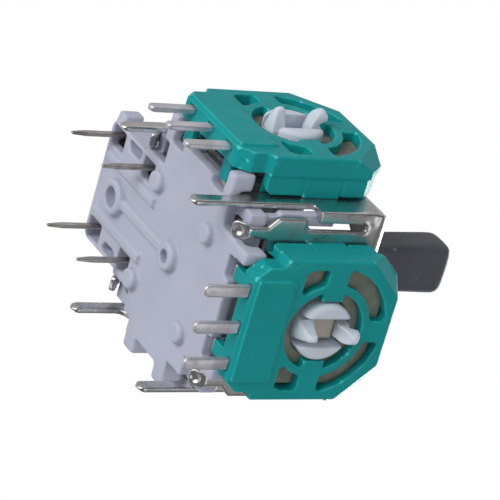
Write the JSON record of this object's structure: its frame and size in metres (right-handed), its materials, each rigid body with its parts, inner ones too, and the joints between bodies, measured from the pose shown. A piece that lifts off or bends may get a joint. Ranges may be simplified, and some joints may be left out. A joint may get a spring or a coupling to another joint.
{
  "type": "controller analog stick",
  "caption": "Through-hole thumbstick sensor: a stick on crossed rockers, two side-mounted rotary sensors and a push switch.",
  "frame": {"origin": "on the stick's axis, in the plane of the four round feet, where the circuit board's face lies", "axes": "+Z along the upright stick, away from the circuit board; -Y towards the front sensor; -X towards the left sensor; +Y towards the push switch"},
  "size_m": [0.0186, 0.0217, 0.0235],
  "materials": {
    "base_plastic": "moulded, satin",
    "teal_plastic": "moulded, satin",
    "tinned_steel": "stamped, tin plated",
    "terminal_tin": "tin plated",
    "switch_tin": "tin plated",
    "resistance_board": "phenolic laminate",
    "white_plastic": "moulded",
    "beige_plastic": "moulded",
    "stick_plastic": "moulded, satin",
    "black_plastic": "moulded",
    "contact_bronze": "bright",
    "spring_wire": "drawn wire"
  },
  "bodies": {
    "housing": {"base": "base_plastic", "steel_cover": "tinned_steel", "front_housing": "teal_plastic", "front_board": "resistance_board", "front_terminal_1": "terminal_tin", "front_terminal_2": "terminal_tin", "front_terminal_3": "terminal_tin", "left_housing": "teal_plastic", "left_board": "resistance_board", "left_terminal_1": "terminal_tin", "left_terminal_2": "terminal_tin", "left_terminal_3": "terminal_tin", "switch_body": "black_plastic", "switch_lid": "tinned_steel", "switch_dome": "contact_bronze", "switch_terminal_1": "switch_tin", "switch_terminal_2": "switch_tin", "switch_terminal_3": "switch_tin", "switch_terminal_4": "switch_tin"},
    "front_rotor_unit": {"front_rotor": "white_plastic", "front_wiper": "contact_bronze"},
    "lower_rocker_unit": {"lower_rocker": "beige_plastic"},
    "stick_unit": {"stick": "stick_plastic", "return_spring": "spring_wire"},
    "foot_unit": {"spring_foot": "white_plastic"},
    "upper_rocker_unit": {"upper_rocker": "white_plastic", "left_rotor": "white_plastic", "left_wiper": "contact_bronze"},
    "button_unit": {"switch_button": "black_plastic"}
  },
  "joints": [
    {"name": "side_tilt", "type": "hinge", "parent": "housing", "child": "front_rotor_unit", "pos_m": [0, 0, 0.00665], "axis": [0, 1, 0], "range_deg": [-20, 20], "stiffness_Nm_per_rad": 0.02},
    {"name": "push", "type": "hinge", "parent": "front_rotor_unit", "child": "lower_rocker_unit", "pos_m": [0, -0.0065, 0.00665], "axis": [-1, 0, 0], "range_deg": [0, 1.2], "stiffness_Nm_per_rad": 0.3},
    {"name": "front_tilt", "type": "hinge", "parent": "lower_rocker_unit", "child": "stick_unit", "pos_m": [0, 0, 0.00665], "axis": [1, 0, 0], "range_deg": [-20, 20], "stiffness_Nm_per_rad": 0.02},
    {"name": "arch_tilt", "type": "hinge", "parent": "housing", "child": "upper_rocker_unit", "pos_m": [0, 0, 0.00665], "axis": [1, 0, 0], "range_deg": [-20, 20]},
    {"name": "button_travel", "type": "slide", "parent": "housing", "child": "button_unit", "axis": [0, 0, -1], "range_m": [0, 0.00031], "deforming": ["switch_dome"]},
    {"name": "foot_slide", "type": "slide", "parent": "stick_unit", "child": "foot_unit", "axis": [0, 0, 1], "range_m": [0, 0.00014], "deforming": ["return_spring"]}
  ],
  "couplings": [
    {"joint": "arch_tilt", "follows": "front_tilt", "ratio": 1},
    {"joint": "button_travel", "follows": "push", "m_per_rad": 0.01455},
    {"joint": "foot_slide", "follows": "push", "m_per_rad": 0.0065}
  ]
}
